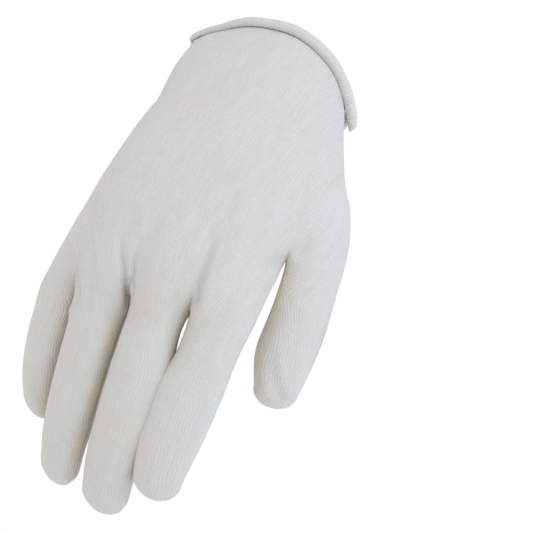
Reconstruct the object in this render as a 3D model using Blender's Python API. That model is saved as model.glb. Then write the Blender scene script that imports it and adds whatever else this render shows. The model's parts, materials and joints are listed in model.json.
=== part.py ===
import math
from collections import namedtuple

import bmesh
import bpy
import numpy as np

# A right-hand cotton inspection glove, filled as it is when worn.
# The back of the hand faces -Y, the fingers point to -Z and the thumb lies towards +X.
# The origin is the centre of the cuff mouth.

# Cloth and seams, metres
CLOTH = 0.001
SEAM_GAP = 0.0003

# Cuff mouth. MOUTH_CURVE: 0.5 is an ellipse, more is pinched at the side seams
CUFF_WIDTH = 0.067
CUFF_DEPTH = 0.0435
CUFF_TWIST = 6.4
CUFF_LOPSIDE = 0.24
MOUTH_CURVE = 0.745
ROLL_DIAMETER = 0.0043
ROLL_WRAP = 255.0

# Hand part, from the cuff edge to the root between the middle and ring fingers
PALM_LENGTH = 0.121
PALM_DEPTH = 0.033
SWELL_REACH = 0.012
ULNAR_DROP = 0.0148
RADIAL_DROP = 0.0048

# Fingers
INDEX_LENGTH = 0.0760
MIDDLE_LENGTH = 0.0903
RING_LENGTH = 0.0842
LITTLE_LENGTH = 0.0638
INDEX_WIDTH = 0.0237
MIDDLE_WIDTH = 0.0224
RING_WIDTH = 0.0221
LITTLE_WIDTH = 0.0180

# Thumb
THUMB_WIDTH = 0.0245
THUMB_LENGTH = 0.062
THUMB_DROP = 0.016
THUMB_ROLL = 21.0
THUMB_WEB_REACH = 0.020
WEB_ROUNDS = 8
WEB_PULL = 0.6

# Mesh rows and columns
FINGER_COLUMNS = 8
FINGER_ROWS = 8
TIP_ROWS = 4
CUFF_ROWS = 4
THUMB_COLUMNS = 8
ROOT_ROWS = 4
ROLL_STEPS = 7
SPINE_STEPS = 480
BEND_SMOOTHING = 30
CROWDING = 0.62

# Where along the palm each change happens, in palm lengths
MOUTH_BLEND = 0.55
ARCH_SETTLED = 0.60
COLUMNS_SPREAD = 0.90
ROOT_CURVE_START = 0.45
ARCH_REACH = 1.3
FOLD_FADE = 0.6
# Where a joint crease ends beside its finger, in finger widths
CREASE_REACH = 0.6
# At the point of a web the seam's two outward directions cancel: their sum is shorter than this
NOTCH_SUM = 0.7

# lean: how far the tip moves towards the thumb, in widths. flex: extra bend at the tip, degrees.
# tip: width where the tip starts to round off, in widths.
Finger = namedtuple("Finger", "name width length lean flex tip")
FINGERS = (
    Finger("little", LITTLE_WIDTH, LITTLE_LENGTH, -0.04, 14.0, 0.78),
    Finger("ring", RING_WIDTH, RING_LENGTH, -0.17, 1.5, 0.72),
    Finger("middle", MIDDLE_WIDTH, MIDDLE_LENGTH, -0.22, 2.5, 0.81),
    Finger("index", INDEX_WIDTH, INDEX_LENGTH, -0.27, -2.5, 0.745),
)
KNUCKLE_WIDTH = sum(finger.width for finger in FINGERS)
# Part of the knuckles' width that lies on the little finger's side of the mouth's middle
KNUCKLE_SHARE = 0.469
ULNAR_EDGE = -KNUCKLE_SHARE * KNUCKLE_WIDTH
RADIAL_EDGE = ULNAR_EDGE + KNUCKLE_WIDTH

# How far down each root lies, from the little finger's outer side to the index finger's, in palm lengths
ROOTS = (1.075, 1.045, 1.0, 0.975, 0.945)

# Finger width along the finger: share of its length, share of the way from the root width to the tip width
Girth = namedtuple("Girth", "along narrowed")
FINGER_GIRTHS = (
    Girth(0.0, 0.0),
    Girth(0.08, 0.19),
    Girth(0.40, 0.29),
    Girth(0.72, 0.46),
    Girth(1.0, 1.0),
)
TIP_ROUNDNESS = 1.15
LEAN_EASE = 1.25

# Side edges of the hand, little finger side and thumb side: share of the palm length, and how far out each
# edge lies as a share of the straight line from the cuff's edge to the knuckles' edge
Edge = namedtuple("Edge", "along ulnar radial")
PALM_EDGES = (
    Edge(0.0, 1.0, 1.0),
    Edge(0.17, 0.925, 1.178),
    Edge(0.33, 0.804, 1.355),
    Edge(0.52, 0.795, 1.198),
    Edge(0.73, 0.827, 1.112),
    Edge(1.0, 1.0, 1.0),
)
THUMB_START = 0.33
THUMB_CROTCH = 0.73

# Thumb edges: shares of the way down each side, distance out from the crotch in thumb widths
ThumbEdge = namedtuple("ThumbEdge", "outer_down outer_out inner_down inner_out")
THUMB_EDGES = (
    ThumbEdge(0.09, 0.39, 0.075, 0.03),
    ThumbEdge(0.20, 0.61, 0.16, 0.02),
    ThumbEdge(0.34, 0.75, 0.28, 0.015),
    ThumbEdge(0.51, 0.79, 0.42, -0.01),
    ThumbEdge(0.66, 0.807, 0.585, -0.04),
    ThumbEdge(0.83, 0.777, 0.775, -0.05),
    ThumbEdge(1.0, 0.695, 1.0, 0.055),
)

# Bend of the glove in side view: station in palm and middle finger lengths, angle in degrees
Bend = namedtuple("Bend", "palm finger angle")
BENDS = (
    Bend(0.0, 0.0, 66.0),
    Bend(0.30, 0.0, 55.0),
    Bend(0.55, 0.0, 36.0),
    Bend(0.80, 0.0, 15.0),
    Bend(1.0, 0.0, 2.0),
    Bend(1.0, 0.35, -10.0),
    Bend(1.0, 0.70, -22.0),
    Bend(1.0, 1.0, -30.0),
)

# Folds and hollows of one panel: where each starts and fades out, across from the thumb side of the middle
# finger's root in knuckle widths and down in palm lengths, its depth as a share of the cloth's rise there, and
# its width in cloth thicknesses
Fold = namedtuple("Fold", "name across down across_end down_end depth width")
BACK_FOLDS = (
    Fold("ring_web_pleat_ulnar", -0.245, 1.00, -0.315, 0.80, 0.15, 3.2),
    Fold("ring_web_pleat_radial", -0.245, 1.00, -0.215, 0.79, 0.15, 3.2),
    Fold("little_web_crease", -0.490, 1.04, -0.545, 0.84, 0.16, 3.4),
    Fold("index_groove", 0.000, 0.97, 0.015, 0.70, 0.18, 4.0),
    Fold("thumb_hollow", 0.260, 0.76, 0.235, 0.60, 0.20, 8.0),
)
PALM_FOLDS = (
    Fold("palm_hollow", -0.150, 0.72, -0.110, 0.45, 0.30, 17.0),
    Fold("thumb_crease", 0.200, 0.80, -0.090, 0.38, 0.22, 4.5),
    Fold("finger_crease", 0.150, 0.84, -0.560, 0.90, 0.14, 5.0),
)
# Creases under the finger joints, on the palm side: share of the finger's length, depth and width as above
JointCrease = namedtuple("JointCrease", "along depth width")
JOINT_CREASES = (
    JointCrease(0.04, 0.14, 4.0),
    JointCrease(0.42, 0.14, 4.5),
    JointCrease(0.78, 0.10, 4.5),
)

# Thickness of the cuff roll along the mouth, from the little finger side to the thumb side
RollGirth = namedtuple("RollGirth", "along share")
ROLL_GIRTHS = (
    RollGirth(0.0, 0.66),
    RollGirth(0.14, 0.64),
    RollGirth(0.26, 0.82),
    RollGirth(0.40, 1.0),
    RollGirth(0.70, 1.05),
    RollGirth(0.85, 0.98),
    RollGirth(0.94, 1.10),
    RollGirth(1.0, 0.90),
)

COTTON_BACK = (0.66, 0.66, 0.65, 1.0)
COTTON_PALM = (0.62, 0.61, 0.58, 1.0)
COTTON_ROLL = (0.64, 0.64, 0.64, 1.0)


def smooth(value):
    clipped = np.clip(value, 0.0, 1.0)
    return clipped * clipped * (3.0 - 2.0 * clipped)


def cosine_steps(count):
    return 0.5 - 0.5 * np.cos(np.pi * np.arange(count + 1) / count)


def column_steps(count):
    """Column places across a finger, closer together at its two seams."""
    return CROWDING * cosine_steps(count) + (1.0 - CROWDING) * np.linspace(0.0, 1.0, count + 1)


def edge_at(along):
    stations = [row.along for row in PALM_EDGES]
    ulnar = np.interp(along, stations, [row.ulnar for row in PALM_EDGES])
    radial = np.interp(along, stations, [row.radial for row in PALM_EDGES])
    cuff = 0.5 * CUFF_WIDTH
    return ulnar * (along * (ULNAR_EDGE + cuff) - cuff), radial * (along * (RADIAL_EDGE - cuff) + cuff)


class Layout:
    """Grid of the glove's outline, flat: across (towards the thumb) and down (towards the fingertips)."""

    def __init__(self):
        self.flat = []
        self.finger = []
        self.along = []
        self.quads = []

    def add(self, across, down, finger, along):
        self.flat.append((across, down))
        self.finger.append(finger)
        self.along.append(along)
        return len(self.flat) - 1

    def weave(self, rows):
        for upper, lower in zip(rows, rows[1:]):
            for column in range(len(upper) - 1):
                self.quads.append((upper[column], lower[column], lower[column + 1], upper[column + 1]))


def palm_stations():
    cuff = np.linspace(0.0, THUMB_START, CUFF_ROWS + 1)
    thumb = THUMB_START + (THUMB_CROTCH - THUMB_START) * column_steps(THUMB_COLUMNS)
    root = np.linspace(THUMB_CROTCH, 1.0, ROOT_ROWS + 1)
    return list(cuff[:-1]) + list(thumb[:-1]) + list(root)


def column_shares():
    """Shares across the hand of each column, at the cuff and at the finger roots."""
    total = FINGER_COLUMNS * len(FINGERS)
    at_cuff = cosine_steps(total)
    at_roots = [0.0]
    for finger in FINGERS:
        start = at_roots[-1]
        share = finger.width / KNUCKLE_WIDTH
        at_roots.extend(start + share * column_steps(FINGER_COLUMNS)[1:])
    return at_cuff, np.array(at_roots)


def root_line(share):
    widths = np.cumsum([0.0] + [finger.width for finger in FINGERS]) / KNUCKLE_WIDTH
    return PALM_LENGTH * np.interp(share, widths, ROOTS)


def lay_palm(layout):
    at_cuff, at_roots = column_shares()
    rows = []
    for along in palm_stations():
        ulnar, radial = edge_at(along)
        mix = smooth(along / COLUMNS_SPREAD)
        shares = at_cuff * (1.0 - mix) + at_roots * mix
        pull = smooth((along - ROOT_CURVE_START) / (1.0 - ROOT_CURVE_START))
        row = []
        for column, share in enumerate(shares):
            down = along * PALM_LENGTH + pull * (root_line(at_roots[column]) - PALM_LENGTH)
            row.append(layout.add(ulnar + share * (radial - ulnar), down, "palm", along))
        rows.append(row)
    layout.weave(rows)
    return rows


def round_tip(layout, last_row, centre, down, half_width, name):
    """Closes a finger by the elliptical mapping of a half square to a half disc."""
    rows = [last_row]
    across = 2.0 * column_steps(len(last_row) - 1) - 1.0
    for step in range(1, TIP_ROWS + 1):
        reach = math.sin(0.5 * math.pi * step / TIP_ROWS)
        row = []
        for side in across:
            out = half_width * side * math.sqrt(1.0 - 0.5 * reach * reach)
            ahead = half_width * TIP_ROUNDNESS * reach * math.sqrt(1.0 - 0.5 * side * side)
            row.append(layout.add(centre + out, down + ahead, name, 1.0))
        rows.append(row)
    layout.weave(rows)


def lay_finger(layout, finger, root_row):
    roots = [layout.flat[vertex] for vertex in root_row]
    start = 0.5 * (roots[0][0] + roots[-1][0])
    middle_down = 0.5 * (roots[0][1] + roots[-1][1])
    narrowed = [row.narrowed for row in FINGER_GIRTHS]
    stations = [row.along for row in FINGER_GIRTHS]
    tip_half = 0.5 * finger.width * finger.tip
    lean = finger.lean * finger.width
    tip_down = middle_down + finger.length - tip_half * TIP_ROUNDNESS
    across = 2.0 * column_steps(FINGER_COLUMNS) - 1.0
    rows = [root_row]
    for step in range(1, FINGER_ROWS + 1):
        along = step / FINGER_ROWS
        half = 0.5 * finger.width * (1.0 - (1.0 - finger.tip) * np.interp(along, stations, narrowed))
        centre = start + lean * along ** LEAN_EASE
        row = []
        for side, root in zip(across, roots):
            down = root[1] + (tip_down - root[1]) * along
            row.append(layout.add(centre + side * half, down, finger.name, along))
        rows.append(row)
    layout.weave(rows)
    round_tip(layout, rows[-1], start + lean, tip_down, tip_half, finger.name)


def lay_thumb(layout, palm_rows):
    base = [row[-1] for row in palm_rows[CUFF_ROWS:CUFF_ROWS + THUMB_COLUMNS + 1]][::-1]
    start = layout.flat[base[-1]]
    crotch = layout.flat[base[0]]
    last = THUMB_EDGES[-1]
    tip_half = 0.5 * THUMB_WIDTH * (last.outer_out - last.inner_out)
    end_down = crotch[1] + THUMB_LENGTH - tip_half * TIP_ROUNDNESS
    rows = [base]
    for step, edge in enumerate(THUMB_EDGES):
        along = (step + 1) / len(THUMB_EDGES)
        outer = np.array((crotch[0] + edge.outer_out * THUMB_WIDTH,
                          start[1] + edge.outer_down * (end_down - start[1])))
        inner = np.array((crotch[0] + edge.inner_out * THUMB_WIDTH,
                          crotch[1] + edge.inner_down * (end_down - crotch[1])))
        row = []
        for share in column_steps(THUMB_COLUMNS):
            across, down = inner + share * (outer - inner)
            row.append(layout.add(across, down, "thumb", along))
        rows.append(row)
    layout.weave(rows)
    centre = crotch[0] + 0.5 * THUMB_WIDTH * (last.outer_out + last.inner_out)
    round_tip(layout, rows[-1], centre, end_down, tip_half, "thumb")


def cut_pattern():
    layout = Layout()
    palm_rows = lay_palm(layout)
    for number, finger in enumerate(FINGERS):
        first = number * FINGER_COLUMNS
        lay_finger(layout, finger, palm_rows[-1][first:first + FINGER_COLUMNS + 1])
    lay_thumb(layout, palm_rows)
    return layout, palm_rows[0]


def boundary_edges(quads):
    """Directed edges that only one quad uses."""
    edges = set()
    for quad in quads:
        for start, end in zip(quad, quad[1:] + quad[:1]):
            if (end, start) in edges:
                edges.remove((end, start))
            else:
                edges.add((start, end))
    return sorted(edges)


def swelling(layout, seam):
    """Rise of the cloth above the seams: 0 at a seam, 1 far from it. Solves rise - reach^2 laplace(rise) = 1."""
    flat = np.array(layout.flat)
    count = len(flat)
    system = np.zeros((count, count))
    load = np.zeros(count)
    for quad in layout.quads:
        for corners in ((quad[0], quad[1], quad[2]), (quad[0], quad[2], quad[3])):
            for turn in range(3):
                tip, left, right = (corners[(turn + k) % 3] for k in range(3))
                to_left = flat[left] - flat[tip]
                to_right = flat[right] - flat[tip]
                cross = abs(to_left[0] * to_right[1] - to_left[1] * to_right[0])
                weight = 0.5 * SWELL_REACH ** 2 * float(to_left @ to_right) / max(cross, 1e-9)
                system[left, right] -= weight
                system[right, left] -= weight
                system[left, left] += weight
                system[right, right] += weight
                system[tip, tip] += cross / 6.0
                load[tip] += cross / 6.0
    for vertex in seam:
        system[vertex, :] = 0.0
        system[vertex, vertex] = 1.0
        load[vertex] = 0.0
    return np.sqrt(np.clip(np.linalg.solve(system, load), 0.0, None))


def spine(finger):
    """Side view curve of the middle surface for one finger: depth, height and angle against the way down it."""
    reach = PALM_LENGTH + max(other.length for other in FINGERS) + max(other.width for other in FINGERS)
    stations = np.linspace(0.0, reach, SPINE_STEPS)
    bend_stations = [row.palm * PALM_LENGTH + row.finger * MIDDLE_LENGTH for row in BENDS]
    angles = np.interp(stations, bend_stations, [row.angle for row in BENDS])
    if finger is not None:
        root = PALM_LENGTH * root_of(finger)
        angles = angles - finger.flex * smooth((stations - root) / finger.length)
    kernel = np.hanning(2 * BEND_SMOOTHING + 1)
    padded = np.pad(angles, BEND_SMOOTHING, mode="edge")
    angles = np.radians(np.convolve(padded, kernel / kernel.sum(), mode="valid"))
    step = stations[1] - stations[0]
    depth = -np.concatenate(([0.0], np.cumsum(np.sin(0.5 * (angles[1:] + angles[:-1]))))) * step
    height = -np.concatenate(([0.0], np.cumsum(np.cos(0.5 * (angles[1:] + angles[:-1]))))) * step
    return stations, depth, height, angles


def finger_centre(finger):
    """Middle of a finger's root, across the hand."""
    before = sum(other.width for other in FINGERS[:FINGERS.index(finger)])
    return ULNAR_EDGE + before + 0.5 * finger.width


def root_of(finger):
    number = FINGERS.index(finger)
    return 0.5 * (ROOTS[number] + ROOTS[number + 1])


def sideways_drop(across, down):
    """How far the middle surface sinks towards the palm side: knuckle arch and twist of the cuff."""
    middle = finger_centre(FINGERS[2])
    ulnar = np.clip((middle - across) / (middle - ULNAR_EDGE), 0.0, None) ** 2 * ULNAR_DROP
    radial = np.clip((across - middle) / (RADIAL_EDGE - middle), 0.0, ARCH_REACH) ** 2 * RADIAL_DROP
    settle = smooth(down / (ARCH_SETTLED * PALM_LENGTH))
    return (ulnar + radial) * settle + across * math.tan(math.radians(CUFF_TWIST)) * (1.0 - settle)


def middle_surface(layout):
    spines = {finger.name: spine(finger) for finger in FINGERS}
    spines["palm"] = spines["thumb"] = spine(None)
    middle_row = THUMB_EDGES[len(THUMB_EDGES) // 2]
    thumb_middle = edge_at(THUMB_CROTCH)[1] + 0.5 * THUMB_WIDTH * (middle_row.outer_out + middle_row.inner_out)
    points = []
    for (across, down), name, along in zip(layout.flat, layout.finger, layout.along):
        stations, depths, heights, angles = spines[name]
        drop = sideways_drop(across, down)
        if name == "thumb":
            turned = math.tan(math.radians(THUMB_ROLL)) * (across - thumb_middle)
            drop += (THUMB_DROP + turned) * smooth(along)
        depth = np.interp(down, stations, depths)
        height = np.interp(down, stations, heights)
        angle = np.interp(down, stations, angles)
        points.append((across, depth + drop * math.cos(angle), height - drop * math.sin(angle)))
    return np.array(points)


def vertex_normals(points, quads):
    normals = np.zeros_like(points)
    for quad in quads:
        face = np.cross(points[quad[2]] - points[quad[0]], points[quad[3]] - points[quad[1]])
        for vertex in quad:
            normals[vertex] += face
    return normals / np.linalg.norm(normals, axis=1)[:, None]


def seam_directions(points, normals, edges):
    """Unit directions pointing out of the outline at each boundary vertex."""
    outward = {}
    neighbours = {}
    for start, end in edges:
        along = points[end] - points[start]
        out = np.cross(along, normals[start])
        out /= np.linalg.norm(out)
        for vertex, other in ((start, end), (end, start)):
            outward[vertex] = outward.get(vertex, 0.0) + out
            neighbours.setdefault(vertex, []).append(other)
    for vertex, out in outward.items():
        if np.linalg.norm(out) < NOTCH_SUM:
            out = sum(points[other] - points[vertex] for other in neighbours[vertex])
        out = out - normals[vertex] * float(out @ normals[vertex])
        outward[vertex] = out / np.linalg.norm(out)
    return outward


def heights(layout, seam):
    flat = np.array(layout.flat)
    rise = swelling(layout, seam) * 0.5 * PALM_DEPTH
    mouth = np.zeros(len(flat))
    for vertex, name in enumerate(layout.finger):
        if name == "palm":
            ulnar, radial = edge_at(layout.along[vertex])
            across = (2.0 * flat[vertex][0] - ulnar - radial) / (radial - ulnar)
            fuller = 1.0 + CUFF_LOPSIDE * across
            mouth[vertex] = 0.5 * CUFF_DEPTH * fuller * max(1.0 - across * across, 0.0) ** MOUTH_CURVE
    near_mouth = 1.0 - smooth(flat[:, 1] / (MOUTH_BLEND * PALM_LENGTH))
    return rise * (1.0 - near_mouth) + mouth * near_mouth


def folded(layout, rise, side):
    """The rise of one panel with its folds pressed in."""
    flat = np.array(layout.flat)
    index_root = RADIAL_EDGE - INDEX_WIDTH
    pressed = np.ones(len(flat))
    for fold in BACK_FOLDS if side > 0 else PALM_FOLDS:
        start = np.array((index_root + fold.across * KNUCKLE_WIDTH, fold.down * PALM_LENGTH))
        end = np.array((index_root + fold.across_end * KNUCKLE_WIDTH, fold.down_end * PALM_LENGTH))
        run = end - start
        share = np.clip(((flat - start) @ run) / float(run @ run), 0.0, 1.0)
        away = np.linalg.norm(flat - start - share[:, None] * run, axis=1) / (fold.width * CLOTH)
        pressed *= 1.0 - fold.depth * np.exp(-away * away) * (1.0 - FOLD_FADE * share)
    if side < 0:
        for finger in FINGERS:
            root = PALM_LENGTH * root_of(finger)
            own = np.array([name in (finger.name, "palm") for name in layout.finger])
            beside = np.abs(flat[:, 0] - finger_centre(finger)) < CREASE_REACH * finger.width
            for crease in JOINT_CREASES:
                away = (flat[:, 1] - root - crease.along * finger.length) / (crease.width * CLOTH)
                pressed[own & beside] *= 1.0 - crease.depth * np.exp(-away[own & beside] ** 2)
    return rise * pressed


def rounded_web(layout, points, seam):
    """Cloth near the thumb's crotch stretches across the inner corner instead of following it."""
    flat = np.array(layout.flat)
    crotch = np.array((edge_at(THUMB_CROTCH)[1], THUMB_CROTCH * PALM_LENGTH))
    near = np.exp(-(np.linalg.norm(flat - crotch, axis=1) / THUMB_WEB_REACH) ** 2)
    near[sorted(seam)] = 0.0
    links = sorted({tuple(sorted(pair)) for quad in layout.quads for pair in zip(quad, quad[1:] + quad[:1])})
    first = np.array([link[0] for link in links])
    second = np.array([link[1] for link in links])
    degree = np.bincount(first, minlength=len(flat)) + np.bincount(second, minlength=len(flat))
    for turn in range(WEB_ROUNDS):
        total = np.zeros_like(points)
        np.add.at(total, first, points[second])
        np.add.at(total, second, points[first])
        points = points + WEB_PULL * near[:, None] * (total / degree[:, None] - points)
    return points


class Glove:
    """Shared shape of the two panels."""

    def __init__(self):
        self.layout, self.rim = cut_pattern()
        self.quads = self.layout.quads
        self.middle = middle_surface(self.layout)
        self.normals = vertex_normals(self.middle, self.quads)
        self.edges = boundary_edges(self.quads)
        mouth = set(self.rim)
        self.seam = {vertex for edge in self.edges if not mouth.issuperset(edge) for vertex in edge}
        self.rise = heights(self.layout, self.seam)
        self.outward = seam_directions(self.middle, self.normals, self.edges)

    def outer(self, side):
        lift = side * (0.5 * SEAM_GAP + folded(self.layout, self.rise, side))
        return rounded_web(self.layout, self.middle + self.normals * lift[:, None], self.seam)

    def outer_normals(self, side, points):
        normals = side * vertex_normals(points, self.quads)
        for vertex in self.seam:
            normals[vertex] = self.outward[vertex]
        return normals


def add_object(name, vertices, faces, colour):
    mesh = bpy.data.meshes.new(name)
    mesh.from_pydata([tuple(point) for point in vertices], [], faces)
    shaped = bmesh.new()
    shaped.from_mesh(mesh)
    bmesh.ops.recalc_face_normals(shaped, faces=shaped.faces)
    shaped.to_mesh(mesh)
    shaped.free()
    mesh.shade_smooth()
    material = bpy.data.materials.new(name)
    material.use_nodes = True
    shader = material.node_tree.nodes["Principled BSDF"]
    shader.inputs["Base Color"].default_value = colour
    shader.inputs["Roughness"].default_value = 0.9
    mesh.materials.append(material)
    bpy.context.collection.objects.link(bpy.data.objects.new(name, mesh))


def make_panel(glove, name, side, colour):
    outer = glove.outer(side)
    normals = glove.outer_normals(side, outer)
    inner = outer - normals * CLOTH
    count = len(outer)
    faces = [quad if side > 0 else quad[::-1] for quad in glove.quads]
    faces += [tuple(vertex + count for vertex in reversed(face)) for face in faces]
    for start, end in glove.edges:
        faces.append((end, start, start + count, end + count))
    add_object(name, np.vstack((outer, inner)), faces, colour)


def make_roll(glove, name, side, colour):
    """The curled edge: a strip of cloth wound outward and swept along half of the cuff mouth."""
    outer = glove.outer(side)
    normals = glove.outer_normals(side, outer)
    angle = spine(None)[3][0]
    out_of_mouth = np.array((0.0, math.sin(angle), math.cos(angle)))
    stations = [row.along for row in ROLL_GIRTHS]
    girths = [row.share for row in ROLL_GIRTHS]
    wrap = np.radians(np.linspace(180.0, 180.0 - ROLL_WRAP, ROLL_STEPS + 1))
    vertices = []
    for number, vertex in enumerate(glove.rim):
        radius = 0.5 * ROLL_DIAMETER * np.interp(number / (len(glove.rim) - 1), stations, girths)
        radial = normals[vertex] - out_of_mouth * float(normals[vertex] @ out_of_mouth)
        radial /= np.linalg.norm(radial)
        centre = outer[vertex] + radial * (radius - CLOTH) + out_of_mouth * SEAM_GAP
        ring = [(radius, turn) for turn in wrap] + [(radius - CLOTH, turn) for turn in wrap[::-1]]
        for reach, turn in ring:
            vertices.append(centre + reach * (radial * math.cos(turn) + out_of_mouth * math.sin(turn)))
    size = 2 * len(wrap)
    faces = [tuple(range(size)), tuple(reversed(range(len(vertices) - size, len(vertices))))]
    for section in range(len(glove.rim) - 1):
        first = section * size
        for corner in range(size):
            after = (corner + 1) % size
            faces.append((first + corner, first + after, first + size + after, first + size + corner))
    add_object(name, vertices, faces, colour)


def main():
    for thing in list(bpy.data.objects):
        bpy.data.objects.remove(thing, do_unlink=True)
    glove = Glove()
    make_panel(glove, "back_panel", 1.0, COTTON_BACK)
    make_panel(glove, "palm_panel", -1.0, COTTON_PALM)
    make_roll(glove, "back_cuff_roll", 1.0, COTTON_ROLL)
    make_roll(glove, "palm_cuff_roll", -1.0, COTTON_ROLL)


main()
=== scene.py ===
import json
import math

import bmesh
import bpy
import numpy as np
from mathutils import Matrix, Vector, kdtree, noise
from mathutils.bvhtree import BVHTree


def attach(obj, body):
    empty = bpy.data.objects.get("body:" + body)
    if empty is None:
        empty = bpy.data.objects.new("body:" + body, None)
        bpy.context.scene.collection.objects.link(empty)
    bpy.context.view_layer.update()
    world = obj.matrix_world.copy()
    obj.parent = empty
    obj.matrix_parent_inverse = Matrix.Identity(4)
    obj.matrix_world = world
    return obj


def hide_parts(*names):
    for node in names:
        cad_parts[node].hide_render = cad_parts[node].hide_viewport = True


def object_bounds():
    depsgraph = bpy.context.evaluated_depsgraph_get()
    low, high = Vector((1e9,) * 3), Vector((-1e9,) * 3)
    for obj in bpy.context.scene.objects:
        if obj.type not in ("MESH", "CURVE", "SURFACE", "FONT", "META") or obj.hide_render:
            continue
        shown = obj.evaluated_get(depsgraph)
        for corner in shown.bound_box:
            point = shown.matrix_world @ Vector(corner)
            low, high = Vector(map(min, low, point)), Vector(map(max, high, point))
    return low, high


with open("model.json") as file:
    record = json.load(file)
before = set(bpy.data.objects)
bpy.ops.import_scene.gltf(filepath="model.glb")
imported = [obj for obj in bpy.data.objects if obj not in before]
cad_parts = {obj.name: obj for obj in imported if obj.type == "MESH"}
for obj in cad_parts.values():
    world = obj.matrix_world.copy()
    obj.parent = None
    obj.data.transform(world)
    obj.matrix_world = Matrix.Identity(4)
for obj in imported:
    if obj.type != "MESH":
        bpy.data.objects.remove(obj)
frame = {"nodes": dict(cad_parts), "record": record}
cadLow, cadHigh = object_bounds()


def eased(share):
    # a soft step, 0 up to 0 and 1 from 1 on
    share = min(max(share, 0.0), 1.0)
    return share * share * (3.0 - 2.0 * share)


camera = {
    "azimuth": 18.08,       # degrees, from the back of the hand towards the thumb side
    "elevation": 4.0,
    "roll": 18.34,          # the fingers lean to the lower left
    "distance": 0.90,       # from the middle of the cuff mouth, metres
    "focal": 2286.2,        # pixels of the frame
    "frame": 533.0,
    "sensor": 36.0,         # millimetres
    "clipStart": 0.01,
    "aimRight": 57.3,       # where the middle of the frame lies from the mouth, pixels before the roll
    "aimDown": 180.4,
}


def addCamera(values):
    turn, rise = math.radians(values["azimuth"]), math.radians(values["elevation"])
    back = Vector((math.sin(turn) * math.cos(rise), -math.cos(turn) * math.cos(rise), math.sin(rise)))
    right = Vector((math.cos(turn), math.sin(turn), 0.0))
    up = back.cross(right)
    lean = math.radians(values["roll"])
    axisY = up * math.cos(lean) - right * math.sin(lean)
    aim = -back * values["focal"] + right * values["aimRight"] - up * values["aimDown"]
    axisZ = -aim.normalized()
    axisX = axisY.cross(axisZ).normalized()
    axisY = axisZ.cross(axisX)
    data = bpy.data.cameras.new("viewCamera")
    data.sensor_width = values["sensor"]
    data.lens = values["focal"] / values["frame"] * data.sensor_width
    data.clip_start = values["clipStart"]
    item = bpy.data.objects.new("viewCamera", data)
    bpy.context.scene.collection.objects.link(item)
    facing = Matrix((axisX, axisY, axisZ)).transposed()
    item.matrix_world = Matrix.LocRotScale(back * values["distance"], facing, None)
    bpy.context.scene.camera = item


studio = {
    "worldStrength": 0.82,
    "floorDrop": 0.030,     # below the lowest fingertip, metres
    "floorSize": 6.0,
    "floorColour": (0.95, 0.94, 0.92, 1.0),
    "floorRoughness": 0.9,
    "floorSpecular": 0.1,
    "lampTarget": (0.0, 0.0, -0.1),     # near the middle of the hand
}
white = (1.0, 1.0, 1.0, 1.0)
lamps = [
    # name, place, width, watts, colour
    ("keyLamp", (-0.7, -1.1, 1.5), 1.2, 5.4, (1.0, 0.985, 0.965)),
    ("sideLamp", (1.5, -0.6, 0.9), 1.0, 9.6, (0.87, 0.935, 1.0)),
]


def whiteToCamera(tree, kind, lit, output):
    # the camera sees plain white here, and the glove gets its light from the lit shader
    seen = tree.nodes.new(kind)
    seen.inputs["Color"].default_value = white
    seen.inputs["Strength"].default_value = 1.0
    path = tree.nodes.new("ShaderNodeLightPath")
    mix = tree.nodes.new("ShaderNodeMixShader")
    tree.links.new(path.outputs["Is Camera Ray"], mix.inputs["Fac"])
    tree.links.new(lit, mix.inputs[1])
    tree.links.new(seen.outputs[0], mix.inputs[2])
    tree.links.new(mix.outputs["Shader"], tree.nodes[output].inputs["Surface"])


def addWorld(values):
    world = bpy.data.worlds.new("whiteSweep")
    world.use_nodes = True
    sky = world.node_tree.nodes["Background"]
    sky.inputs["Color"].default_value = white
    sky.inputs["Strength"].default_value = values["worldStrength"]
    whiteToCamera(world.node_tree, "ShaderNodeBackground", sky.outputs["Background"], "World Output")
    bpy.context.scene.world = world


def addFloor(values):
    level = cadLow.z - values["floorDrop"]
    bpy.ops.mesh.primitive_plane_add(size=values["floorSize"], location=(0, 0, level))
    floor = bpy.context.object
    floor.name = "paleFloor"
    paint = bpy.data.materials.new("palePaper")
    paint.use_nodes = True
    shader = paint.node_tree.nodes["Principled BSDF"]
    shader.inputs["Base Color"].default_value = values["floorColour"]
    shader.inputs["Roughness"].default_value = values["floorRoughness"]
    shader.inputs["Specular IOR Level"].default_value = values["floorSpecular"]
    whiteToCamera(paint.node_tree, "ShaderNodeEmission", shader.outputs["BSDF"], "Material Output")
    floor.data.materials.append(paint)


def addLamp(name, place, width, watts, colour):
    data = bpy.data.lights.new(name, "AREA")
    data.size = width
    data.energy = watts
    data.color = colour
    lamp = bpy.data.objects.new(name, data)
    bpy.context.scene.collection.objects.link(lamp)
    lamp.location = place
    aim = Vector(studio["lampTarget"]) - Vector(place)
    lamp.rotation_euler = aim.to_track_quat("-Z", "Y").to_euler()


addCamera(camera)
addWorld(studio)
addFloor(studio)
for lamp in lamps:
    addLamp(*lamp)
bpy.context.scene.view_settings.view_transform = "Standard"
print("camera and studio done")


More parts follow.
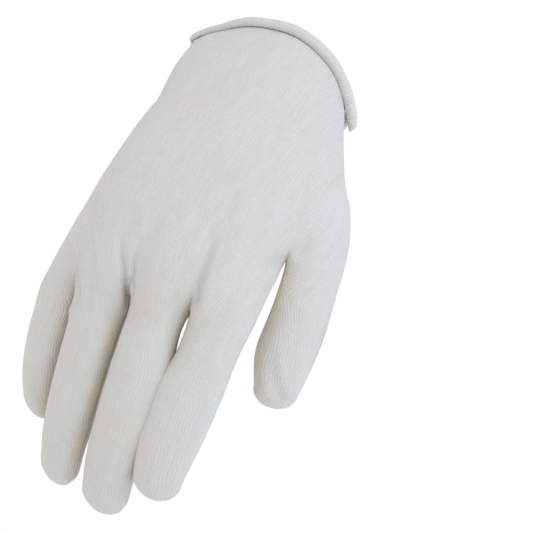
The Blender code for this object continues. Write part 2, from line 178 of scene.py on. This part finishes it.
knit = {
    "wale": 0.00105,        # from one rib to the next, metres
    "course": 0.00100,      # from one row of loops to the next
    "slant": 0.6,           # how far the legs of a loop slant, in courses
    "loopDepth": 0.18,      # how deep a rib dips between loops, as a share of its height
    "wander": (160.0, 160.0, 1.0),      # the ribs' slow wander, waves to the metre
    "wanderWidth": 2.4,     # in ribs
    "ribYarn": (750.0, 60.0, 1.0),      # thick and thin yarn down the ribs, waves to the metre
    "courseYarn": (70.0, 800.0, 1.0),   # the same along the courses
    "courseShare": 0.6,     # how much the courses count beside the ribs
    "yarnMiddle": 0.8,      # yarn of middle thickness, which changes nothing
    "yarnHeight": 4.0,      # how much thick yarn stands out
    "streak": 0.105,        # how much thick and thin yarn shows in the colour
    "detail": 2.0,
    "grooveShade": 0.965,   # share of the tint that is left between ribs, painted shade in the grooves
    "ribShade": 0.05,       # added to it on a rib, so the crowns stay lighter than the painted shade between ribs
    "bump": 0.00016,
    "roughness": 0.93,
    "specular": 0.15,
    "sheen": 0.30,
    "sheenRoughness": 0.45,
    "drift": (75.0, 35.0, 1.0),         # slow change of tint over the cloth, waves to the metre
    "driftTone": 0.55,
    "driftDetail": 3.0,
    "cool": (0.640, 0.662, 0.695, 1.0),     # bluish tint: painted cool light where the cloth faces the cool lamp, and bleached cotton's tint where the tone drifts at random
    "plain": (0.640, 0.636, 0.622, 1.0),
    "warm": (0.630, 0.572, 0.485, 1.0),     # cream tint: painted shade in the recesses, and a warm tint where the tone drifts at random
}


def mathNode(tree, operation, *values):
    node = tree.nodes.new("ShaderNodeMath")
    node.operation = operation
    for socket, value in zip(node.inputs, values):
        if isinstance(value, (int, float)):
            socket.default_value = value
        else:
            tree.links.new(value, socket)
    return node.outputs[0]


def stretchedNoise(tree, vector, scale, detail):
    mapping = tree.nodes.new("ShaderNodeMapping")
    mapping.inputs["Scale"].default_value = scale
    tree.links.new(vector, mapping.inputs["Vector"])
    texture = tree.nodes.new("ShaderNodeTexNoise")
    texture.inputs["Scale"].default_value = 1.0
    texture.inputs["Detail"].default_value = detail
    tree.links.new(mapping.outputs["Vector"], texture.inputs["Vector"])
    return texture.outputs["Fac"]


def makeKnitGroup(values):
    group = bpy.data.node_groups.new("jerseyKnit", "ShaderNodeTree")
    face = group.interface
    face.new_socket("Pattern", in_out="INPUT", socket_type="NodeSocketVector")
    for name in ("Wale", "Course", "Streak"):
        socket = face.new_socket(name, in_out="INPUT", socket_type="NodeSocketFloat")
        socket.default_value = values[name.lower()]
    for name in ("Height", "Shade"):
        face.new_socket(name, in_out="OUTPUT", socket_type="NodeSocketFloat")
    start = group.nodes.new("NodeGroupInput")
    end = group.nodes.new("NodeGroupOutput")
    pattern = start.outputs["Pattern"]
    parts = group.nodes.new("ShaderNodeSeparateXYZ")
    group.links.new(pattern, parts.inputs[0])
    # a slow wander keeps the ribs from looking ruled
    wander = stretchedNoise(group, pattern, values["wander"], values["detail"])
    across = mathNode(group, "DIVIDE", parts.outputs["X"], start.outputs["Wale"])
    across = mathNode(group, "MULTIPLY_ADD", wander, values["wanderWidth"], across)
    down = mathNode(group, "DIVIDE", parts.outputs["Y"], start.outputs["Course"])
    down = mathNode(group, "MULTIPLY_ADD", wander, values["wanderWidth"], down)
    # each rib is two slanted legs that meet in its crown, with a groove on both sides
    leg = mathNode(group, "MULTIPLY", mathNode(group, "PINGPONG", across, 0.5), 2.0)
    ridge = mathNode(group, "SINE", mathNode(group, "MULTIPLY", leg, 0.5 * math.pi))
    slant = mathNode(group, "MULTIPLY_ADD", leg, values["slant"], down)
    loop = mathNode(group, "COSINE", mathNode(group, "MULTIPLY", slant, 2.0 * math.pi))
    dip = values["loopDepth"]
    height = mathNode(group, "MULTIPLY", ridge, mathNode(group, "MULTIPLY_ADD", loop, dip, 1.0 - dip))
    # thick and thin yarn, down the ribs and along the courses
    ribs = stretchedNoise(group, pattern, values["ribYarn"], values["detail"])
    courses = stretchedNoise(group, pattern, values["courseYarn"], values["detail"])
    yarn = mathNode(group, "SUBTRACT", ribs, values["yarnMiddle"])
    yarn = mathNode(group, "MULTIPLY_ADD", courses, values["courseShare"], yarn)
    yarn = mathNode(group, "MULTIPLY", yarn, start.outputs["Streak"])
    raised = mathNode(group, "MULTIPLY_ADD", yarn, values["yarnHeight"], height)
    group.links.new(raised, end.inputs["Height"])
    # darker between the ribs and lighter on their crowns: painted shade on the knit's relief, to which
    # the thick and thin yarn's own colour is added
    shade = mathNode(group, "MULTIPLY_ADD", height, values["ribShade"], values["grooveShade"])
    group.links.new(mathNode(group, "ADD", shade, yarn), end.inputs["Shade"])
    return group


knitGroup = makeKnitGroup(knit)


def makeCotton(name, values):
    material = bpy.data.materials.new(name)
    material.use_nodes = True
    tree = material.node_tree
    link = tree.links.new
    shader = tree.nodes["Principled BSDF"]
    shader.inputs["Roughness"].default_value = values["roughness"]
    shader.inputs["Specular IOR Level"].default_value = values["specular"]
    shader.inputs["Sheen Weight"].default_value = values["sheen"]
    shader.inputs["Sheen Roughness"].default_value = values["sheenRoughness"]
    pattern = tree.nodes.new("ShaderNodeUVMap")
    pattern.uv_map = "knit"
    cloth = tree.nodes.new("ShaderNodeGroup")
    cloth.node_tree = knitGroup
    for key in ("Wale", "Course", "Streak"):
        cloth.inputs[key].default_value = values[key.lower()]
    link(pattern.outputs["UV"], cloth.inputs["Pattern"])
    # the tone attribute carries painted shade in the recesses and painted cool light on the thumb side;
    # the drift adds random tone of the cotton itself
    tone = tree.nodes.new("ShaderNodeAttribute")
    tone.attribute_name = "tone"
    tint = tree.nodes.new("ShaderNodeValToRGB")
    tint.color_ramp.elements[0].color = values["cool"]
    tint.color_ramp.elements[1].color = values["warm"]
    tint.color_ramp.elements.new(0.5).color = values["plain"]
    drift = stretchedNoise(tree, pattern.outputs["UV"], values["drift"], values["driftDetail"])
    drift = mathNode(tree, "MULTIPLY_ADD", drift, values["driftTone"], -0.5 * values["driftTone"])
    link(mathNode(tree, "ADD", tone.outputs["Fac"], drift), tint.inputs["Fac"])
    # a Mix node's colours are its sockets 6 and 7, and its mixed colour is output 2
    colour = tree.nodes.new("ShaderNodeMix")
    colour.data_type = "RGBA"
    colour.blend_type = "MULTIPLY"
    colour.inputs[0].default_value = 1.0
    link(tint.outputs["Color"], colour.inputs[6])
    link(cloth.outputs["Shade"], colour.inputs[7])
    link(colour.outputs[2], shader.inputs["Base Color"])
    bump = tree.nodes.new("ShaderNodeBump")
    bump.inputs["Distance"].default_value = values["bump"]
    link(cloth.outputs["Height"], bump.inputs["Height"])
    link(bump.outputs["Normal"], shader.inputs["Normal"])
    return material


gloveCotton = makeCotton("panelCotton", knit)
print("cotton done")


panel = {
    "merge": 1e-6,          # corners nearer than this are one, metres
    "edgeAngle": 0.95,      # radians, a sharper turn than this is the edge of the outer side
    "quadAngle": 60.0,      # degrees, two triangles that turn less than this become a quad
    "rounds": 2,            # of subdivision
    "growRounds": 2,        # of making up for what subdivision pulls in
    "wall": 0.0009,         # wall of the finished cloth
    "seamDepth": 0.00030,   # how far the edges turn in at the hidden seam
    "seamWidth": 0.0008,
    "pucker": 0.00016,      # small waves beside the seam
    "puckerScale": (260.0, 260.0),      # waves to the metre, across and down
    "puckerStart": 0.0015,  # from the seam
    "puckerReach": 0.006,
    "puckerLayer": 3.0,     # added to the cloth's own layer of noise
    "crumple": 0.00032,     # loose unevenness of the whole cloth
    "crumpleScale": (70.0, 30.0),
    "crumpleStart": 0.004,  # from the seam
    "rimReach": 0.0022,     # the edge within this of a solid roll carries the curled roll
    "seamLean": 0.75,       # an edge that runs along the mouth's axis by more than this is a seam
    "flatShare": 0.999,     # stated flat area, as a share of the outer side of the solid panel
}
mouthAxis = Vector(frame["record"]["mounts"][0]["axis"])

# where each fold runs in the pattern, metres from its left edge and up from its lowest fingertip,
# its depth, its half width, and how high the cloth stands beside it. A fold is deepest at its first
# point and fades out at its last.
backFolds = [
    # little finger: a raised fold with a soft valley beside it
    {"path": [(0.0612, 0.0850), (0.0610, 0.0993), (0.0592, 0.1090), (0.0575, 0.1180)],
     "depth": -0.0013, "width": 0.0019, "shoulder": 0.0},
    {"path": [(0.0692, 0.0930), (0.0690, 0.1000), (0.0668, 0.1090), (0.0615, 0.1170), (0.0580, 0.1230)],
     "depth": 0.0017, "width": 0.0022, "shoulder": 0.0004},
    # ring finger: two grooves with a ridge between them
    {"path": [(0.0946, 0.0862), (0.0955, 0.0940), (0.0956, 0.1060), (0.0934, 0.1147), (0.0900, 0.1230)],
     "depth": 0.0024, "width": 0.0017, "shoulder": 0.0006},
    {"path": [(0.0972, 0.1000), (0.0968, 0.1097), (0.0949, 0.1163), (0.0925, 0.1220)],
     "depth": -0.0008, "width": 0.0012, "shoulder": 0.0},
    {"path": [(0.1028, 0.0960), (0.1010, 0.1030), (0.0994, 0.1110), (0.1005, 0.1180), (0.1000, 0.1240)],
     "depth": 0.0018, "width": 0.0015, "shoulder": 0.0004},
    # middle finger: one long groove
    {"path": [(0.1363, 0.1041), (0.1332, 0.1139), (0.1311, 0.1219), (0.1290, 0.1300), (0.1275, 0.1370)],
     "depth": 0.0022, "width": 0.0023, "shoulder": 0.0005},
    # hollow between the index knuckle and the thumb
    {"path": [(0.1600, 0.1372), (0.1560, 0.1360), (0.1500, 0.1335), (0.1450, 0.1325)],
     "depth": 0.0014, "width": 0.0030, "shoulder": 0.0003},
    {"path": [(0.1640, 0.1500), (0.1600, 0.1560), (0.1570, 0.1620)],
     "depth": 0.0010, "width": 0.0024, "shoulder": 0.0002},
    # folds across the joints of the ring, middle and index fingers, and a fine one on the little finger
    {"path": [(0.0800, 0.0620), (0.0700, 0.0580), (0.0600, 0.0600)],
     "depth": 0.0005, "width": 0.0010, "shoulder": 0.0002},
    {"path": [(0.1060, 0.0640), (0.1170, 0.0610), (0.1270, 0.0640)],
     "depth": 0.0005, "width": 0.0010, "shoulder": 0.0002},
    {"path": [(0.1790, 0.0760), (0.1700, 0.0700), (0.1590, 0.0680)],
     "depth": 0.0005, "width": 0.0010, "shoulder": 0.0002},
    {"path": [(0.0080, 0.0756), (0.0151, 0.0747), (0.0240, 0.0760)],
     "depth": 0.0004, "width": 0.0007, "shoulder": 0.0001},
    # a ridge up the thumb from its tip, with a valley beside it
    {"path": [(0.2110, 0.1232), (0.2066, 0.1234), (0.2018, 0.1238), (0.1950, 0.1246)],
     "depth": -0.0010, "width": 0.0013, "shoulder": 0.0},
    {"path": [(0.2105, 0.1200), (0.2050, 0.1204), (0.1990, 0.1212), (0.1930, 0.1222)],
     "depth": 0.0007, "width": 0.0018, "shoulder": 0.0},
]
foldFade = 0.7              # below 1 a fold stays deep for longer
shoulderAt = 2.1            # the raised cloth lies this many half widths from the fold

# base and tip of the fingers that lean in the pattern, where the ribs are combed to run along them
backFingers = [
    ((0.0460, 0.1035), (0.0190, 0.0750)),       # little finger
    ((0.0806, 0.0880), (0.0575, 0.0248)),       # ring finger
    ((0.1520, 0.1000), (0.1776, 0.0479)),       # index finger
    ((0.1750, 0.1420), (0.2055, 0.1204)),       # thumb
]
comb = {
    "reach": 0.017,         # to each side of the finger's middle line, metres
    "ramp": 0.016,          # length from its base over which the ribs turn
}

# the lines x = a + b z that part the fingers of the solid
ringMiddle = (0.00624, 0.0667)
middleIndex = (0.02804, 0.0676)
pastIndex = (0.06440, 0.1650)       # beyond the index finger's thumb side
# the two lines that a finger lies between, and how its low and its high side moves, as the height
# where that starts, the height where it is full, and the move in x, metres
fillings = [
    # below its root the middle finger is wider towards the index finger, and less so at its tip
    (ringMiddle, middleIndex, (-0.101, -0.110, 0.0), (-0.101, -0.110, 0.0028)),
    (ringMiddle, middleIndex, (-0.134, -0.152, 0.0), (-0.134, -0.152, -0.0014)),
    # the index finger is wider on both sides, and less so towards the middle finger at its tip
    (middleIndex, pastIndex, (-0.101, -0.110, -0.0030), (-0.099, -0.112, 0.0013)),
    (middleIndex, pastIndex, (-0.134, -0.152, 0.0015), (-0.134, -0.152, 0.0)),
]


def onlySelect(item):
    bpy.ops.object.select_all(action="DESELECT")
    item.select_set(True)
    bpy.context.view_layer.objects.active = item


def applyModifier(item, kind, **values):
    onlySelect(item)
    modifier = item.modifiers.new(kind.lower(), kind)
    for key, value in values.items():
        setattr(modifier, key, value)
    bpy.ops.object.modifier_apply(modifier=modifier.name)


def treeOf(points):
    tree = kdtree.KDTree(len(points))
    for number, point in enumerate(points):
        tree.insert(point, number)
    tree.balance()
    return tree


def placesOf(mesh):
    places = np.zeros(len(mesh.vertices) * 3)
    mesh.vertices.foreach_get("co", places)
    return places.reshape(-1, 3)


def copyOuter(node, name):
    # the outer side of a solid ends where its surface turns sharply into the edge wall
    item = bpy.data.objects.new(name, frame["nodes"][node].data.copy())
    item.data.materials.clear()
    bpy.context.scene.collection.objects.link(item)
    onlySelect(item)
    shape = bmesh.new()
    shape.from_mesh(item.data)
    bmesh.ops.remove_doubles(shape, verts=shape.verts, dist=panel["merge"])
    sides = []
    left = set(shape.faces)
    while left:
        side = {left.pop()}
        queue = list(side)
        while queue:
            smooth = [edge for edge in queue.pop().edges
                      if edge.is_manifold and edge.calc_face_angle() < panel["edgeAngle"]]
            near = {other for edge in smooth for other in edge.link_faces} & left
            left -= near
            side |= near
            queue.extend(near)
        sides.append(sorted(side, key=lambda face: face.index))
    sides.sort(key=lambda faces: sum(face.calc_area() for face in faces))
    others = [face for faces in sides[:-1] for face in faces]
    bmesh.ops.delete(shape, geom=others, context="FACES")
    shape.to_mesh(item.data)
    shape.free()
    bpy.ops.object.mode_set(mode="EDIT")
    bpy.ops.mesh.select_all(action="SELECT")
    turn = math.radians(panel["quadAngle"])
    bpy.ops.mesh.tris_convert_to_quads(face_threshold=turn, shape_threshold=math.pi)
    bpy.ops.object.mode_set(mode="OBJECT")
    return item


def fillFingers(item):
    # fills the chosen fingers out sideways, both their cloths alike, so that their seams stay shut
    for vertex in item.data.vertices:
        place = vertex.co.copy()
        for lowLine, highLine, lowMove, highMove in fillings:
            low = lowLine[0] + lowLine[1] * place.z
            high = highLine[0] + highLine[1] * place.z
            share = (place.x - low) / (high - low)
            if 0.0 < share < 1.0:
                for part, (start, full, move) in ((1.0 - share, lowMove), (share, highMove)):
                    vertex.co.x += part * move * eased((start - place.z) / (start - full))
    item.data.update()


def growBack(item):
    # subdivision pulls the cloth in, so its corners are first moved out by as much
    base = placesOf(item.data)
    for turn in range(panel["growRounds"]):
        onlySelect(item)
        modifier = item.modifiers.new("try", "SUBSURF")
        modifier.levels = panel["rounds"]
        graph = bpy.context.evaluated_depsgraph_get()
        tried = item.evaluated_get(graph).to_mesh()
        moved = placesOf(tried)[:len(base)]
        item.evaluated_get(graph).to_mesh_clear()
        item.modifiers.remove(modifier)
        item.data.vertices.foreach_set("co", (placesOf(item.data) + base - moved).ravel())
        item.data.update()


def layPattern(item):
    # unwraps the cloth and lays it in metres, fingers down
    onlySelect(item)
    while item.data.uv_layers:
        item.data.uv_layers.remove(item.data.uv_layers[0])
    item.data.uv_layers.new(name="pattern")
    bpy.ops.object.mode_set(mode="EDIT")
    bpy.ops.mesh.select_all(action="SELECT")
    bpy.ops.uv.unwrap(method="ANGLE_BASED", margin=0.0)
    bpy.ops.object.mode_set(mode="OBJECT")
    mesh = item.data
    layer = mesh.uv_layers["pattern"].data
    uv = np.zeros(len(layer) * 2)
    layer.foreach_get("uv", uv)
    uv = uv.reshape(-1, 2)
    place = np.array([mesh.vertices[loop.vertex_index].co for loop in mesh.loops])
    flatArea = 0.0
    for face in mesh.polygons:
        ring = uv[list(face.loop_indices)]
        after = np.roll(ring, -1, axis=0)
        flatArea += 0.5 * abs(float(np.sum(ring[:, 0] * after[:, 1] - ring[:, 1] * after[:, 0])))
    area = sum(face.area for face in mesh.polygons)
    # the direction in the layout that climbs fastest in the glove is its up
    fit = np.linalg.lstsq(np.column_stack((uv, np.ones(len(uv)))), place, rcond=None)[0][:2]
    up = fit[:, 2] / np.linalg.norm(fit[:, 2])
    side = np.array((up[1], -up[0]))
    side *= math.copysign(1.0, float(fit[:, 0] @ side))
    laid = np.column_stack((uv @ side, uv @ up)) * math.sqrt(area / flatArea)
    laid -= laid.min(0)
    layer.foreach_set("uv", laid.ravel())
    return tuple(laid.max(0)), area


def combed(spot, fingers):
    best = None
    for base, tip in fingers:
        along = Vector(tip) - Vector(base)
        along.normalize()
        away = spot - Vector(base)
        reach = abs(away.x * along.y - away.y * along.x)
        if away.dot(along) > 0.0 and reach < comb["reach"] and (best is None or reach < best[0]):
            best = (reach, Vector(base), along, away)
    if best is None:
        return spot
    reach, base, along, away = best
    turn = math.atan2(-along.x, -along.y) * eased(away.dot(along) / comb["ramp"])
    return base + Matrix.Rotation(turn, 2) @ away


def combRibs(item, fingers):
    # a second layout, for the knit alone
    mesh = item.data
    mesh.uv_layers.new(name="knit")
    source = mesh.uv_layers["pattern"].data
    target = mesh.uv_layers["knit"].data
    for number in range(len(source)):
        target[number].uv = combed(source[number].uv.copy(), fingers)


def patternOf(mesh):
    found = np.zeros((len(mesh.vertices), 2))
    layer = mesh.uv_layers["pattern"].data
    for loop in mesh.loops:
        found[loop.vertex_index] = layer[loop.index].uv
    return found


def borderOf(mesh):
    shape = bmesh.new()
    shape.from_mesh(mesh)
    border = sorted(vertex.index for vertex in shape.verts if vertex.is_boundary)
    shape.free()
    return border


def rimOf(mesh, node):
    # walks the edge that the curled roll sits on, from the little finger side to the thumb side
    tree = treeOf([vertex.co for vertex in frame["nodes"][node].data.vertices])
    shape = bmesh.new()
    shape.from_mesh(mesh)
    rim = {vertex for vertex in shape.verts
           if vertex.is_boundary and tree.find(vertex.co)[2] < panel["rimReach"]}
    near = {vertex: [edge.other_vert(vertex) for edge in vertex.link_edges
                     if edge.is_boundary and edge.other_vert(vertex) in rim] for vertex in rim}
    walk = [min((vertex for vertex in rim if len(near[vertex]) == 1), key=lambda vertex: vertex.co.x)]
    seen = set(walk)
    while any(vertex not in seen for vertex in near[walk[-1]]):
        walk.append([vertex for vertex in near[walk[-1]] if vertex not in seen][0])
        seen.add(walk[-1])
    # the last few steps that run down a seam aren't the rim
    while abs((walk[1].co - walk[0].co).normalized().dot(mouthAxis)) > panel["seamLean"]:
        walk.pop(0)
    while abs((walk[-1].co - walk[-2].co).normalized().dot(mouthAxis)) > panel["seamLean"]:
        walk.pop()
    found = [vertex.index for vertex in walk]
    shape.free()
    return found


def waves(pattern, scale, layer):
    return np.array([noise.noise((u * scale[0], v * scale[1], layer)) for u, v in pattern])


def bell(distance, width):
    return np.exp(-(distance / width) ** 2)


def foldDepth(pattern, fold):
    path = np.array(fold["path"])
    lengths = np.linalg.norm(np.diff(path, axis=0), axis=1)
    starts = np.concatenate(([0.0], np.cumsum(lengths)))
    nearest = np.full(len(pattern), np.inf)
    along = np.zeros(len(pattern))
    for number, (first, last) in enumerate(zip(path, path[1:])):
        run = last - first
        share = np.clip(((pattern - first) @ run) / float(run @ run), 0.0, 1.0)
        away = np.linalg.norm(pattern - first - share[:, None] * run, axis=1)
        closer = away < nearest
        nearest[closer] = away[closer]
        along[closer] = ((starts[number] + share * lengths[number]) / starts[-1])[closer]
    fade = np.clip(1.0 - along, 0.0, 1.0) ** foldFade
    groove = bell(nearest, fold["width"])
    beside = bell(nearest - shoulderAt * fold["width"], fold["width"])
    return fade * (fold["depth"] * groove - fold["shoulder"] * beside)


def shapeCloth(item, rim, folds, layer):
    mesh = item.data
    pattern = patternOf(mesh)
    places = placesOf(mesh)
    normals = np.array([vertex.normal for vertex in mesh.vertices])
    free = set(rim)
    seamTree = treeOf([places[k] for k in borderOf(mesh) if k not in free])
    seam = np.array([seamTree.find(place)[2] for place in places])
    inward = np.zeros(len(places))
    for fold in folds:
        inward += foldDepth(pattern, fold)
    inward += panel["seamDepth"] * bell(seam, panel["seamWidth"])
    beside = bell(seam, panel["puckerReach"]) * (1.0 - bell(seam, panel["puckerStart"]))
    puckers = waves(pattern, panel["puckerScale"], layer + panel["puckerLayer"])
    inward += panel["pucker"] * beside * puckers
    crumples = waves(pattern, panel["crumpleScale"], layer)
    inward += panel["crumple"] * crumples * (1.0 - bell(seam, panel["crumpleStart"]))
    mesh.vertices.foreach_set("co", (places - normals * inward[:, None]).ravel())
    mesh.update()


# painted shade in the cloth's recesses, and painted cool light on the side the cool lamp faces
recess = {
    "rays": 220,
    "reach": 0.030,         # cloth nearer than this darkens the cloth it faces with painted shade, metres
    "lift": 0.0012,         # the rays start this far off the cloth
    "flattest": 0.2,        # rays that rise less steeply than this from the cloth aren't counted
    "base": 0.50,           # tone where nothing is hidden
    "warmest": 0.75,        # painted shade, tone added where all is hidden
    # on the rolls the painted shade is weaker, and their plain tone is cooler
    "rollBase": 0.40,
    "rollWarmest": 0.10,
    "coolest": 0.42,        # painted cool light, tone taken off where the cloth faces the cool side
    "coolSide": (0.8, 0.0, 0.2),        # the side the cool lamp lights: the thumb side and a little from above
    "coolFade": 1.5,
}


def rayDirections(count):
    # evenly over a ball, along a spiral that turns by the golden angle
    found = []
    for number in range(count):
        z = 1.0 - 2.0 * (number + 0.5) / count
        turn = number * math.pi * (3.0 - math.sqrt(5.0))
        flat = math.sqrt(1.0 - z * z)
        found.append(Vector((flat * math.cos(turn), flat * math.sin(turn), z)))
    return found


def panelTree():
    corners = []
    faces = []
    for name in ("back_panel", "palm_panel"):
        solid = frame["nodes"][name].data
        first = len(corners)
        corners.extend(vertex.co.copy() for vertex in solid.vertices)
        faces.extend([first + k for k in face.vertices] for face in solid.polygons)
    return BVHTree.FromPolygons(corners, faces)


clothTree = panelTree()
clothRays = rayDirections(recess["rays"])


def paintShadeAndLight(item, base, warmest):
    # painted shade: warm and darker where the cloth faces other cloth; painted cool light where it
    # faces the cool lamp on the thumb side
    coolSide = Vector(recess["coolSide"])
    tones = []
    for vertex in item.data.vertices:
        normal = vertex.normal
        start = vertex.co + normal * recess["lift"]
        hidden = 0.0
        total = 0.0
        for ray in clothRays:
            slope = ray.dot(normal)
            if slope > recess["flattest"]:
                total += slope
                if clothTree.ray_cast(start, ray, recess["reach"])[0] is not None:
                    hidden += slope
        facing = max(0.0, normal.dot(coolSide))
        tone = base + warmest * hidden / total
        tone -= recess["coolest"] * facing ** recess["coolFade"] * (1.0 - hidden / total)
        tones.append(min(max(tone, 0.0), 1.0))
    layer = item.data.attributes.new("tone", "FLOAT", "POINT")
    layer.data.foreach_set("value", tones)


def cutPanel(node, name, rollNode, folds, fingers, layer):
    item = copyOuter(node, name)
    size, area = layPattern(item)
    combRibs(item, fingers)
    # the painted shade and light go on the coarse cloth, and subdivision spreads them softly
    paintShadeAndLight(item, recess["base"], recess["warmest"])
    fillFingers(item)
    growBack(item)
    applyModifier(item, "SUBSURF", levels=panel["rounds"], render_levels=panel["rounds"])
    rim = rimOf(item.data, rollNode)
    shapeCloth(item, rim, folds, layer)
    print(name, "cut", len(item.data.polygons), "faces")
    return item, rim, size, area * panel["flatShare"]


def finishPanel(item, node):
    applyModifier(item, "SOLIDIFY", thickness=panel["wall"], offset=-1.0, use_even_offset=False)
    item.data.materials.append(gloveCotton)
    onlySelect(item)
    bpy.ops.object.shade_smooth()
    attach(item, "root")
    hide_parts(node)


backCloth, backRim, backSize, backArea = cutPanel(
    "back_panel", "backCloth", "back_cuff_roll", backFolds, backFingers, layer=1.0)
palmCloth, palmRim, palmSize, palmArea = cutPanel(
    "palm_panel", "palmCloth", "palm_cuff_roll", [], [], layer=7.0)
print("panels shaped")


roll = {
    "diameter": 0.0040,
    "wall": 0.0009,
    "wrap": 332.0,          # degrees of curl that show
    "stations": 260,        # along the rim
    "turns": 34,            # points round the curl
    "tuck": 0.46,           # radius of the raw edge, in radii of the roll
    "tuckStart": 2.05,      # radians past the outermost point, where the edge begins to tuck in
    "tuckRun": 0.7,
    "leastReach": 0.0002,
    "lift": 0.0003,         # of the roll's middle line off the rim
    "wobble": 0.00022,      # how far that line wanders
    "wobbleWaves": 9.0,     # over its length
    "swell": 0.07,          # how uneven the roll's thickness is
    "swellWaves": 14.0,
    "smoothing": 6,         # rounds on the middle line
    "endStations": 44.0,    # stations over which an end swings out
    "endBend": 1.6,         # above 1 most of the swing is at the very end
    "roundStations": 9.0,   # stations over which an end rounds off
    "roundLeast": 0.12,     # square of the share of its thickness that is left at the very end
    "smoothAngle": 50.0,
}
# how far the little finger end and the thumb end of each roll swing out past the seams, metres
backEnds = ((-0.0022, -0.0002, -0.0010), (0.0052, -0.0014, -0.0062))
palmEnds = ((-0.0010, 0.0, 0.0), (0.0008, 0.0, 0.0))
# share of the way from the little finger side to the thumb side, and thickness there
rollGirths = [
    (0.0, 0.62), (0.14, 0.74), (0.26, 0.97), (0.40, 1.06),
    (0.70, 1.16), (0.85, 1.18), (0.94, 1.2), (1.0, 1.0),
]
girthShares, girthValues = zip(*rollGirths)


def swingOut(path, step):
    # the first stations bend away from the cloth by this much, most at the very end
    share = np.clip(1.0 - np.arange(len(path)) / roll["endStations"], 0.0, 1.0) ** roll["endBend"]
    return path + share[:, None] * step


def layPath(cloth, rim, ends):
    # even stations along the rim, and how far along it each lies
    path = np.array([cloth.data.vertices[k].co for k in rim])
    steps = np.concatenate(([0.0], np.cumsum(np.linalg.norm(np.diff(path, axis=0), axis=1))))
    along = np.linspace(0.0, steps[-1], roll["stations"])
    path = np.column_stack([np.interp(along, steps, path[:, axis]) for axis in range(3)])
    for turn in range(roll["smoothing"]):
        path[1:-1] = 0.25 * path[:-2] + 0.5 * path[1:-1] + 0.25 * path[2:]
    path = swingOut(path, np.array(ends[0]))
    path = swingOut(path[::-1], np.array(ends[1]))[::-1]
    return path, along


def rollRadius(number, layer):
    # thickness at a station, uneven like curled cloth and rounded off at both ends
    share = number / (roll["stations"] - 1)
    radius = 0.5 * roll["diameter"] * np.interp(share, girthShares, girthValues)
    radius *= 1.0 + roll["swell"] * noise.noise((share * roll["swellWaves"], layer, 0.0))
    toEnd = min(number, roll["stations"] - 1 - number) / roll["roundStations"]
    return radius * math.sqrt(max(1.0 - max(1.0 - toEnd, 0.0) ** 2, roll["roundLeast"]))


def curl(radius):
    # reach and angle of each point round the cloth's curl, down its outer side and back up its inner
    outer = []
    for turn in np.radians(180.0 - roll["wrap"] * np.linspace(0.0, 1.0, roll["turns"])):
        tuck = eased((-turn - roll["tuckStart"]) / roll["tuckRun"])
        outer.append((radius * (1.0 - (1.0 - roll["tuck"]) * tuck), turn))
    inner = [(reach - roll["wall"], turn) for reach, turn in reversed(outer)]
    return [(max(reach, roll["leastReach"]), turn) for reach, turn in outer + inner]


def sweepRoll(cloth, rim, name, ends, layer):
    path, along = layPath(cloth, rim, ends)
    axis = np.array(mouthAxis)
    out = np.cross(axis, np.gradient(path, axis=0))
    out /= np.linalg.norm(out, axis=1)[:, None]
    out *= np.sign(np.sum(out * path))
    vertices = []
    layout = []
    for number, spot in enumerate(path):
        radius = rollRadius(number, layer)
        share = number / (roll["stations"] - 1)
        shift = roll["wobble"] * noise.noise((share * roll["wobbleWaves"], layer, 5.0))
        centre = spot + out[number] * (radius - roll["wall"]) + axis * (roll["lift"] + shift)
        for reach, turn in curl(radius):
            vertices.append(centre + reach * (out[number] * math.cos(turn) + axis * math.sin(turn)))
            layout.append((along[number], radius * (math.pi - turn)))
    size = 2 * roll["turns"]
    faces = [tuple(range(size))[::-1], tuple(range(len(vertices) - size, len(vertices)))]
    for number in range(roll["stations"] - 1):
        for corner in range(size):
            first = number * size + corner
            after = number * size + (corner + 1) % size
            faces.append((first, after, after + size, first + size))
    mesh = bpy.data.meshes.new(name)
    mesh.from_pydata([tuple(vertex) for vertex in vertices], [], faces)
    knitLayer = mesh.uv_layers.new(name="knit").data
    for loop in mesh.loops:
        knitLayer[loop.index].uv = layout[loop.vertex_index]
    item = bpy.data.objects.new(name, mesh)
    bpy.context.scene.collection.objects.link(item)
    onlySelect(item)
    bpy.ops.object.mode_set(mode="EDIT")
    bpy.ops.mesh.select_all(action="SELECT")
    bpy.ops.mesh.normals_make_consistent(inside=False)
    bpy.ops.object.mode_set(mode="OBJECT")
    # the roll gets the same painted shade, weaker, and painted cool light
    paintShadeAndLight(item, recess["rollBase"], recess["rollWarmest"])
    print(name, "swept", len(mesh.polygons), "faces")
    return item


def finishRoll(item, node):
    item.data.materials.append(gloveCotton)
    onlySelect(item)
    bpy.ops.object.shade_smooth_by_angle(angle=math.radians(roll["smoothAngle"]))
    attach(item, "root")
    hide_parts(node)


# the rolls follow the rims of the cloth, so they come before it gets its wall
backRoll = sweepRoll(backCloth, backRim, "backCuffRoll", backEnds, layer=2.0)
palmRoll = sweepRoll(palmCloth, palmRim, "palmCuffRoll", palmEnds, layer=6.0)
finishPanel(backCloth, "back_panel")
finishPanel(palmCloth, "palm_panel")
finishRoll(backRoll, "back_cuff_roll")
finishRoll(palmRoll, "palm_cuff_roll")
print("rolls done")
